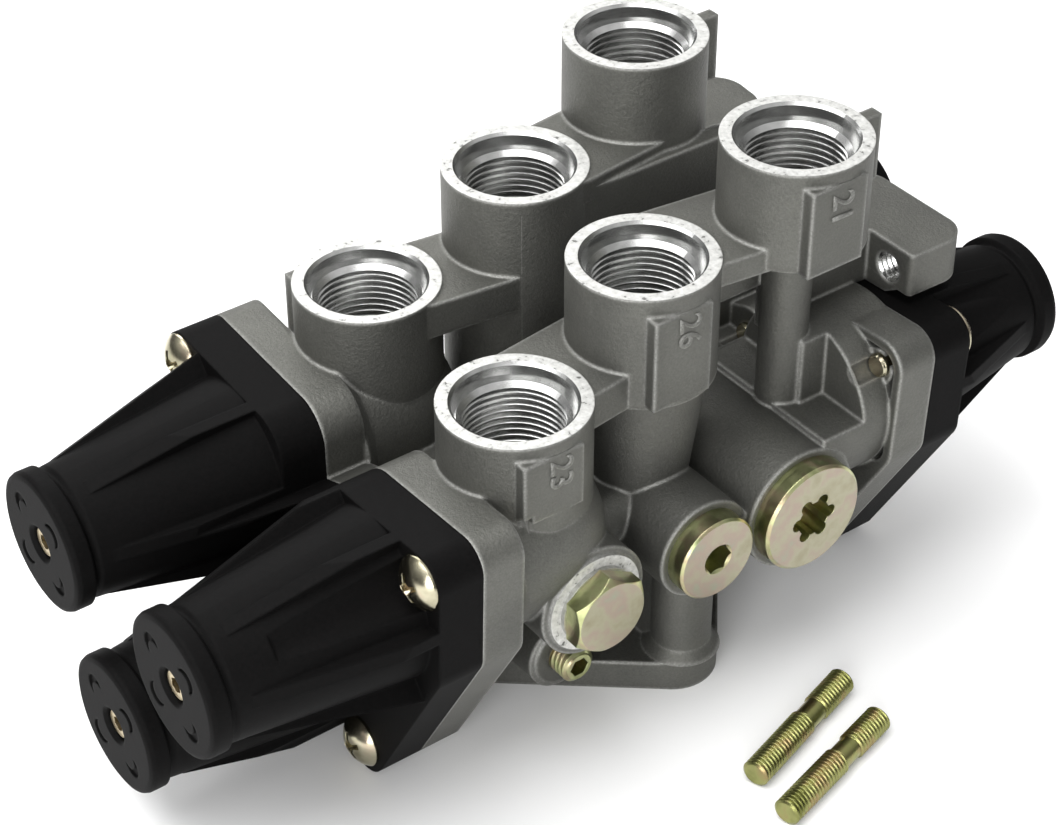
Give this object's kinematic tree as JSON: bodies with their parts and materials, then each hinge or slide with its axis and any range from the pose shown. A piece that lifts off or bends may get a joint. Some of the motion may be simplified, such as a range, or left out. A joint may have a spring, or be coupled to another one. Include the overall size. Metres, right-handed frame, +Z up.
{
  "type": "multi-circuit protection valve",
  "caption": "Pneumatic protection valve with a stepped cast housing of threaded ports, ribbed black spring covers at both ends, front closing plugs and a mounting plate.",
  "frame": {"origin": "where the inlet axis meets the bottom face of the mounting plate", "axes": "+X along the valve cylinders toward the two-dome cover, -Y toward the closing plugs, +Z up along the port axes"},
  "size_m": [0.217, 0.1357, 0.1189],
  "materials": {
    "cast_aluminium": "shot-blasted",
    "black_nylon": "satin",
    "zinc_steel": "yellow zinc",
    "copper": "satin",
    "rubber": "matt",
    "adjuster_steel": "satin",
    "pressed_steel": "satin",
    "spring_steel": "satin",
    "piston_aluminium": "turned"
  },
  "bodies": {
    "valve": {"valve_housing": "cast_aluminium", "left_cover": "black_nylon", "right_cover": "black_nylon", "left_cover_screws": "zinc_steel", "right_cover_screws": "zinc_steel", "hex_plug": "zinc_steel", "hex_plug_seal": "copper", "small_plug": "zinc_steel", "big_plug": "zinc_steel", "set_screw": "zinc_steel", "inlet_seal": "rubber", "loose_stud_1": "zinc_steel", "loose_stud_2": "zinc_steel", "spring_a": "spring_steel", "spring_b": "spring_steel", "spring_c": "spring_steel", "spring_d": "spring_steel", "spring_e": "spring_steel"},
    "piston_a": {"piston_a": "piston_aluminium", "seal_ring_a": "rubber", "valve_pad_a": "rubber"},
    "spring_seat_a": {"spring_seat_a": "pressed_steel"},
    "adjuster_a": {"adjuster_a": "adjuster_steel"},
    "piston_b": {"piston_b": "piston_aluminium", "seal_ring_b": "rubber", "valve_pad_b": "rubber"},
    "spring_seat_b": {"spring_seat_b": "pressed_steel"},
    "adjuster_b": {"adjuster_b": "adjuster_steel"},
    "piston_c": {"piston_c": "piston_aluminium", "seal_ring_c": "rubber", "valve_pad_c": "rubber"},
    "spring_seat_c": {"spring_seat_c": "pressed_steel"},
    "adjuster_c": {"adjuster_c": "adjuster_steel"},
    "piston_d": {"piston_d": "piston_aluminium", "seal_ring_d": "rubber", "valve_pad_d": "rubber"},
    "spring_seat_d": {"spring_seat_d": "pressed_steel"},
    "adjuster_d": {"adjuster_d": "adjuster_steel"},
    "piston_e": {"piston_e": "piston_aluminium", "seal_ring_e": "rubber", "valve_pad_e": "rubber"},
    "spring_seat_e": {"spring_seat_e": "pressed_steel"},
    "adjuster_e": {"adjuster_e": "adjuster_steel"}
  },
  "joints": [
    {"name": "piston_a_lift", "type": "slide", "parent": "valve", "child": "piston_a", "axis": [-1, 0, 0], "range_m": [0, 0.003], "stiffness_N_per_m": 6200, "springref_m": -0.01, "deforming": ["spring_a"]},
    {"name": "spring_seat_a_travel", "type": "slide", "parent": "valve", "child": "spring_seat_a", "axis": [1, 0, 0], "range_m": [0, 0.002], "deforming": ["spring_a"]},
    {"name": "adjuster_a_turn", "type": "hinge", "parent": "spring_seat_a", "child": "adjuster_a", "pos_m": [-0.1129, 0.0255, 0.0535], "axis": [1, 0, 0], "range_deg": [0, 720]},
    {"name": "piston_b_lift", "type": "slide", "parent": "valve", "child": "piston_b", "axis": [-1, 0, 0], "range_m": [0, 0.003], "stiffness_N_per_m": 6200, "springref_m": -0.01, "deforming": ["spring_b"]},
    {"name": "spring_seat_b_travel", "type": "slide", "parent": "valve", "child": "spring_seat_b", "axis": [1, 0, 0], "range_m": [0, 0.002], "deforming": ["spring_b"]},
    {"name": "adjuster_b_turn", "type": "hinge", "parent": "spring_seat_b", "child": "adjuster_b", "pos_m": [-0.1129, -0.0255, 0.0535], "axis": [1, 0, 0], "range_deg": [0, 720]},
    {"name": "piston_c_lift", "type": "slide", "parent": "valve", "child": "piston_c", "axis": [-1, 0, 0], "range_m": [0, 0.003], "stiffness_N_per_m": 6200, "springref_m": -0.01, "deforming": ["spring_c"]},
    {"name": "spring_seat_c_travel", "type": "slide", "parent": "valve", "child": "spring_seat_c", "axis": [1, 0, 0], "range_m": [0, 0.002], "deforming": ["spring_c"]},
    {"name": "adjuster_c_turn", "type": "hinge", "parent": "spring_seat_c", "child": "adjuster_c", "pos_m": [-0.1139, 0, 0.0245], "axis": [1, 0, 0], "range_deg": [0, 720]},
    {"name": "piston_d_lift", "type": "slide", "parent": "valve", "child": "piston_d", "axis": [1, 0, 0], "range_m": [0, 0.003], "stiffness_N_per_m": 6200, "springref_m": -0.01, "deforming": ["spring_d"]},
    {"name": "spring_seat_d_travel", "type": "slide", "parent": "valve", "child": "spring_seat_d", "axis": [-1, 0, 0], "range_m": [0, 0.002], "deforming": ["spring_d"]},
    {"name": "adjuster_d_turn", "type": "hinge", "parent": "spring_seat_d", "child": "adjuster_d", "pos_m": [0.1031, -0.0255, 0.0535], "axis": [-1, 0, 0], "range_deg": [0, 720]},
    {"name": "piston_e_lift", "type": "slide", "parent": "valve", "child": "piston_e", "axis": [1, 0, 0], "range_m": [0, 0.003], "stiffness_N_per_m": 6200, "springref_m": -0.01, "deforming": ["spring_e"]},
    {"name": "spring_seat_e_travel", "type": "slide", "parent": "valve", "child": "spring_seat_e", "axis": [-1, 0, 0], "range_m": [0, 0.002], "deforming": ["spring_e"]},
    {"name": "adjuster_e_turn", "type": "hinge", "parent": "spring_seat_e", "child": "adjuster_e", "pos_m": [0.1031, 0.0255, 0.0535], "axis": [-1, 0, 0], "range_deg": [0, 720]}
  ],
  "couplings": [
    {"joint": "adjuster_a_turn", "follows": "spring_seat_a_travel", "rad_per_m": 6283.2},
    {"joint": "adjuster_b_turn", "follows": "spring_seat_b_travel", "rad_per_m": 6283.2},
    {"joint": "adjuster_c_turn", "follows": "spring_seat_c_travel", "rad_per_m": 6283.2},
    {"joint": "adjuster_d_turn", "follows": "spring_seat_d_travel", "rad_per_m": 6283.2},
    {"joint": "adjuster_e_turn", "follows": "spring_seat_e_travel", "rad_per_m": 6283.2}
  ]
}
